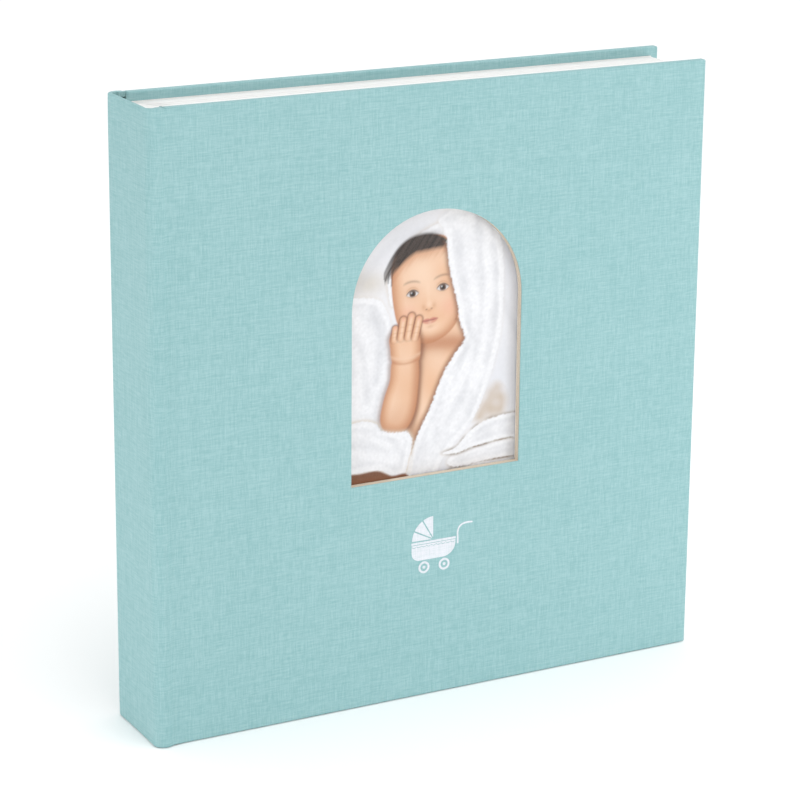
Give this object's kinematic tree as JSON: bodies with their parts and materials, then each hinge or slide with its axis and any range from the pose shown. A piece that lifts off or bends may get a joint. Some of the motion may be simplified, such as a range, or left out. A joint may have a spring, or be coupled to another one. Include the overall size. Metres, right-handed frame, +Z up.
{
  "type": "photo album",
  "caption": "Cloth-covered case-bound photo album with white leaves, an arched picture window in the front cover holding a sliding photo print, and a printed pram motif.",
  "frame": {"origin": "middle of the footprint on the ground, with the album standing on its tail edges", "axes": "+Z up along the spine towards the head, -Y out of the front cover, -X towards the spine, +X towards the fore-edge"},
  "size_m": [0.302, 0.051, 0.31],
  "materials": {
    "cover_cloth": "matt pale teal linen bookcloth with a slubby weave",
    "greyboard": "raw warm grey bookbinding board",
    "album_paper": "matt white album card",
    "white_card": "matt off-white card",
    "photo_paper": "satin photographic print",
    "white_ink": "matt white screen-printed ink",
    "gauze": "open cream bookbinding gauze",
    "kraft_paper": "brown lining paper"
  },
  "bodies": {
    "root": {"spine_cloth": "cover_cloth", "spine_board": "greyboard", "spine_lining_paper": "kraft_paper", "spine_gauze": "gauze", "glued_guard_block": "album_paper"},
    "front_joint": {"front_joint_cloth": "cover_cloth"},
    "front_cover": {"front_board": "greyboard", "front_cover_cloth": "cover_cloth", "front_infill_card": "white_card", "front_pastedown": "album_paper", "photo_pocket_spacer": "white_card", "photo_pocket_card": "white_card", "pram_print": "white_ink"},
    "photo_print": {"photo_print": "photo_paper"},
    "back_joint": {"back_joint_cloth": "cover_cloth"},
    "back_cover": {"back_board": "greyboard", "back_cover_cloth": "cover_cloth", "back_infill_card": "white_card", "back_pastedown": "album_paper"},
    "front_flyleaf": {"front_flyleaf": "album_paper"},
    "leaf_01": {"leaf_01": "album_paper"},
    "leaf_02": {"leaf_02": "album_paper"},
    "leaf_03": {"leaf_03": "album_paper"},
    "leaf_04": {"leaf_04": "album_paper"},
    "leaf_05": {"leaf_05": "album_paper"},
    "leaf_06": {"leaf_06": "album_paper"},
    "leaf_07": {"leaf_07": "album_paper"},
    "leaf_08": {"leaf_08": "album_paper"},
    "leaf_09": {"leaf_09": "album_paper"},
    "leaf_10": {"leaf_10": "album_paper"},
    "leaf_11": {"leaf_11": "album_paper"},
    "leaf_12": {"leaf_12": "album_paper"},
    "leaf_13": {"leaf_13": "album_paper"},
    "leaf_14": {"leaf_14": "album_paper"},
    "leaf_15": {"leaf_15": "album_paper"},
    "back_flyleaf": {"back_flyleaf": "album_paper"},
    "leaf_30": {"leaf_30": "album_paper"},
    "leaf_29": {"leaf_29": "album_paper"},
    "leaf_28": {"leaf_28": "album_paper"},
    "leaf_27": {"leaf_27": "album_paper"},
    "leaf_26": {"leaf_26": "album_paper"},
    "leaf_25": {"leaf_25": "album_paper"},
    "leaf_24": {"leaf_24": "album_paper"},
    "leaf_23": {"leaf_23": "album_paper"},
    "leaf_22": {"leaf_22": "album_paper"},
    "leaf_21": {"leaf_21": "album_paper"},
    "leaf_20": {"leaf_20": "album_paper"},
    "leaf_19": {"leaf_19": "album_paper"},
    "leaf_18": {"leaf_18": "album_paper"},
    "leaf_17": {"leaf_17": "album_paper"},
    "leaf_16": {"leaf_16": "album_paper"}
  },
  "joints": [
    {"name": "front_joint_flex", "type": "hinge", "parent": "root", "child": "front_joint", "pos_m": [-0.1467, -0.0245, 0], "axis": [0, 0, 1], "range_deg": [-108, 0]},
    {"name": "front_flyleaf_turn", "type": "hinge", "parent": "root", "child": "front_flyleaf", "pos_m": [-0.14, -0.01688, 0], "axis": [0, 0, 1], "range_deg": [-100, 0]},
    {"name": "leaf_01_turn", "type": "hinge", "parent": "root", "child": "leaf_01", "pos_m": [-0.13925, -0.01575, 0], "axis": [0, 0, 1], "range_deg": [-94, 0]},
    {"name": "leaf_02_turn", "type": "hinge", "parent": "root", "child": "leaf_02", "pos_m": [-0.1385, -0.01462, 0], "axis": [0, 0, 1], "range_deg": [-87.9, 0]},
    {"name": "leaf_03_turn", "type": "hinge", "parent": "root", "child": "leaf_03", "pos_m": [-0.13775, -0.01349, 0], "axis": [0, 0, 1], "range_deg": [-81.9, 0]},
    {"name": "leaf_04_turn", "type": "hinge", "parent": "root", "child": "leaf_04", "pos_m": [-0.137, -0.01236, 0], "axis": [0, 0, 1], "range_deg": [-75.8, 0]},
    {"name": "leaf_05_turn", "type": "hinge", "parent": "root", "child": "leaf_05", "pos_m": [-0.13625, -0.01123, 0], "axis": [0, 0, 1], "range_deg": [-69.7, 0]},
    {"name": "leaf_06_turn", "type": "hinge", "parent": "root", "child": "leaf_06", "pos_m": [-0.1355, -0.0101, 0], "axis": [0, 0, 1], "range_deg": [-63.7, 0]},
    {"name": "leaf_07_turn", "type": "hinge", "parent": "root", "child": "leaf_07", "pos_m": [-0.13475, -0.00897, 0], "axis": [0, 0, 1], "range_deg": [-57.6, 0]},
    {"name": "leaf_08_turn", "type": "hinge", "parent": "root", "child": "leaf_08", "pos_m": [-0.134, -0.00783, 0], "axis": [0, 0, 1], "range_deg": [-51.6, 0]},
    {"name": "leaf_09_turn", "type": "hinge", "parent": "root", "child": "leaf_09", "pos_m": [-0.13325, -0.0067, 0], "axis": [0, 0, 1], "range_deg": [-45.5, 0]},
    {"name": "leaf_10_turn", "type": "hinge", "parent": "root", "child": "leaf_10", "pos_m": [-0.1325, -0.00557, 0], "axis": [0, 0, 1], "range_deg": [-39.4, 0]},
    {"name": "leaf_11_turn", "type": "hinge", "parent": "root", "child": "leaf_11", "pos_m": [-0.13175, -0.00444, 0], "axis": [0, 0, 1], "range_deg": [-33.4, 0]},
    {"name": "leaf_12_turn", "type": "hinge", "parent": "root", "child": "leaf_12", "pos_m": [-0.131, -0.00331, 0], "axis": [0, 0, 1], "range_deg": [-27.3, 0]},
    {"name": "leaf_13_turn", "type": "hinge", "parent": "root", "child": "leaf_13", "pos_m": [-0.13025, -0.00218, 0], "axis": [0, 0, 1], "range_deg": [-21.3, 0]},
    {"name": "leaf_14_turn", "type": "hinge", "parent": "root", "child": "leaf_14", "pos_m": [-0.1295, -0.00105, 0], "axis": [0, 0, 1], "range_deg": [-15.2, 0]},
    {"name": "leaf_15_turn", "type": "hinge", "parent": "root", "child": "leaf_15", "pos_m": [-0.12875, 0.00008, 0], "axis": [0, 0, 1], "range_deg": [-9.1, 0]},
    {"name": "front_cover_open", "type": "hinge", "parent": "front_joint", "child": "front_cover", "pos_m": [-0.1467, -0.0245, 0], "axis": [0, 0, -1], "range_deg": [0, 178]},
    {"name": "back_joint_flex", "type": "hinge", "parent": "root", "child": "back_joint", "pos_m": [-0.1467, 0.0245, 0], "axis": [0, 0, -1], "range_deg": [-108, 0]},
    {"name": "back_flyleaf_turn", "type": "hinge", "parent": "root", "child": "back_flyleaf", "pos_m": [-0.14, 0.01818, 0], "axis": [0, 0, -1], "range_deg": [-100, 0]},
    {"name": "leaf_30_turn", "type": "hinge", "parent": "root", "child": "leaf_30", "pos_m": [-0.13925, 0.01705, 0], "axis": [0, 0, -1], "range_deg": [-94, 0]},
    {"name": "leaf_29_turn", "type": "hinge", "parent": "root", "child": "leaf_29", "pos_m": [-0.1385, 0.01592, 0], "axis": [0, 0, -1], "range_deg": [-87.9, 0]},
    {"name": "leaf_28_turn", "type": "hinge", "parent": "root", "child": "leaf_28", "pos_m": [-0.13775, 0.01479, 0], "axis": [0, 0, -1], "range_deg": [-81.9, 0]},
    {"name": "leaf_27_turn", "type": "hinge", "parent": "root", "child": "leaf_27", "pos_m": [-0.137, 0.01366, 0], "axis": [0, 0, -1], "range_deg": [-75.8, 0]},
    {"name": "leaf_26_turn", "type": "hinge", "parent": "root", "child": "leaf_26", "pos_m": [-0.13625, 0.01253, 0], "axis": [0, 0, -1], "range_deg": [-69.7, 0]},
    {"name": "leaf_25_turn", "type": "hinge", "parent": "root", "child": "leaf_25", "pos_m": [-0.1355, 0.0114, 0], "axis": [0, 0, -1], "range_deg": [-63.7, 0]},
    {"name": "leaf_24_turn", "type": "hinge", "parent": "root", "child": "leaf_24", "pos_m": [-0.13475, 0.01027, 0], "axis": [0, 0, -1], "range_deg": [-57.6, 0]},
    {"name": "leaf_23_turn", "type": "hinge", "parent": "root", "child": "leaf_23", "pos_m": [-0.134, 0.00913, 0], "axis": [0, 0, -1], "range_deg": [-51.6, 0]},
    {"name": "leaf_22_turn", "type": "hinge", "parent": "root", "child": "leaf_22", "pos_m": [-0.13325, 0.008, 0], "axis": [0, 0, -1], "range_deg": [-45.5, 0]},
    {"name": "leaf_21_turn", "type": "hinge", "parent": "root", "child": "leaf_21", "pos_m": [-0.1325, 0.00687, 0], "axis": [0, 0, -1], "range_deg": [-39.4, 0]},
    {"name": "leaf_20_turn", "type": "hinge", "parent": "root", "child": "leaf_20", "pos_m": [-0.13175, 0.00574, 0], "axis": [0, 0, -1], "range_deg": [-33.4, 0]},
    {"name": "leaf_19_turn", "type": "hinge", "parent": "root", "child": "leaf_19", "pos_m": [-0.131, 0.00461, 0], "axis": [0, 0, -1], "range_deg": [-27.3, 0]},
    {"name": "leaf_18_turn", "type": "hinge", "parent": "root", "child": "leaf_18", "pos_m": [-0.13025, 0.00348, 0], "axis": [0, 0, -1], "range_deg": [-21.3, 0]},
    {"name": "leaf_17_turn", "type": "hinge", "parent": "root", "child": "leaf_17", "pos_m": [-0.1295, 0.00235, 0], "axis": [0, 0, -1], "range_deg": [-15.2, 0]},
    {"name": "leaf_16_turn", "type": "hinge", "parent": "root", "child": "leaf_16", "pos_m": [-0.12875, 0.00122, 0], "axis": [0, 0, -1], "range_deg": [-9.1, 0]},
    {"name": "back_cover_open", "type": "hinge", "parent": "back_joint", "child": "back_cover", "pos_m": [-0.1467, 0.0245, 0], "axis": [0, 0, 1], "range_deg": [0, 178]},
    {"name": "photo_slide", "type": "slide", "parent": "front_cover", "child": "photo_print", "axis": [0, 0, 1], "range_m": [0, 0.15]}
  ],
  "couplings": [
    {"joint": "front_flyleaf_turn", "follows": "front_joint_flex", "ratio": 0.9259},
    {"joint": "leaf_01_turn", "follows": "front_joint_flex", "ratio": 0.8698},
    {"joint": "leaf_02_turn", "follows": "front_joint_flex", "ratio": 0.8137},
    {"joint": "leaf_03_turn", "follows": "front_joint_flex", "ratio": 0.7576},
    {"joint": "leaf_04_turn", "follows": "front_joint_flex", "ratio": 0.7015},
    {"joint": "leaf_05_turn", "follows": "front_joint_flex", "ratio": 0.6453},
    {"joint": "leaf_06_turn", "follows": "front_joint_flex", "ratio": 0.5892},
    {"joint": "leaf_07_turn", "follows": "front_joint_flex", "ratio": 0.5331},
    {"joint": "leaf_08_turn", "follows": "front_joint_flex", "ratio": 0.477},
    {"joint": "leaf_09_turn", "follows": "front_joint_flex", "ratio": 0.4209},
    {"joint": "leaf_10_turn", "follows": "front_joint_flex", "ratio": 0.3648},
    {"joint": "leaf_11_turn", "follows": "front_joint_flex", "ratio": 0.3086},
    {"joint": "leaf_12_turn", "follows": "front_joint_flex", "ratio": 0.2525},
    {"joint": "leaf_13_turn", "follows": "front_joint_flex", "ratio": 0.1964},
    {"joint": "leaf_14_turn", "follows": "front_joint_flex", "ratio": 0.1403},
    {"joint": "leaf_15_turn", "follows": "front_joint_flex", "ratio": 0.0842},
    {"joint": "back_flyleaf_turn", "follows": "back_joint_flex", "ratio": 0.9259},
    {"joint": "leaf_30_turn", "follows": "back_joint_flex", "ratio": 0.8698},
    {"joint": "leaf_29_turn", "follows": "back_joint_flex", "ratio": 0.8137},
    {"joint": "leaf_28_turn", "follows": "back_joint_flex", "ratio": 0.7576},
    {"joint": "leaf_27_turn", "follows": "back_joint_flex", "ratio": 0.7015},
    {"joint": "leaf_26_turn", "follows": "back_joint_flex", "ratio": 0.6453},
    {"joint": "leaf_25_turn", "follows": "back_joint_flex", "ratio": 0.5892},
    {"joint": "leaf_24_turn", "follows": "back_joint_flex", "ratio": 0.5331},
    {"joint": "leaf_23_turn", "follows": "back_joint_flex", "ratio": 0.477},
    {"joint": "leaf_22_turn", "follows": "back_joint_flex", "ratio": 0.4209},
    {"joint": "leaf_21_turn", "follows": "back_joint_flex", "ratio": 0.3648},
    {"joint": "leaf_20_turn", "follows": "back_joint_flex", "ratio": 0.3086},
    {"joint": "leaf_19_turn", "follows": "back_joint_flex", "ratio": 0.2525},
    {"joint": "leaf_18_turn", "follows": "back_joint_flex", "ratio": 0.1964},
    {"joint": "leaf_17_turn", "follows": "back_joint_flex", "ratio": 0.1403},
    {"joint": "leaf_16_turn", "follows": "back_joint_flex", "ratio": 0.0842}
  ]
}
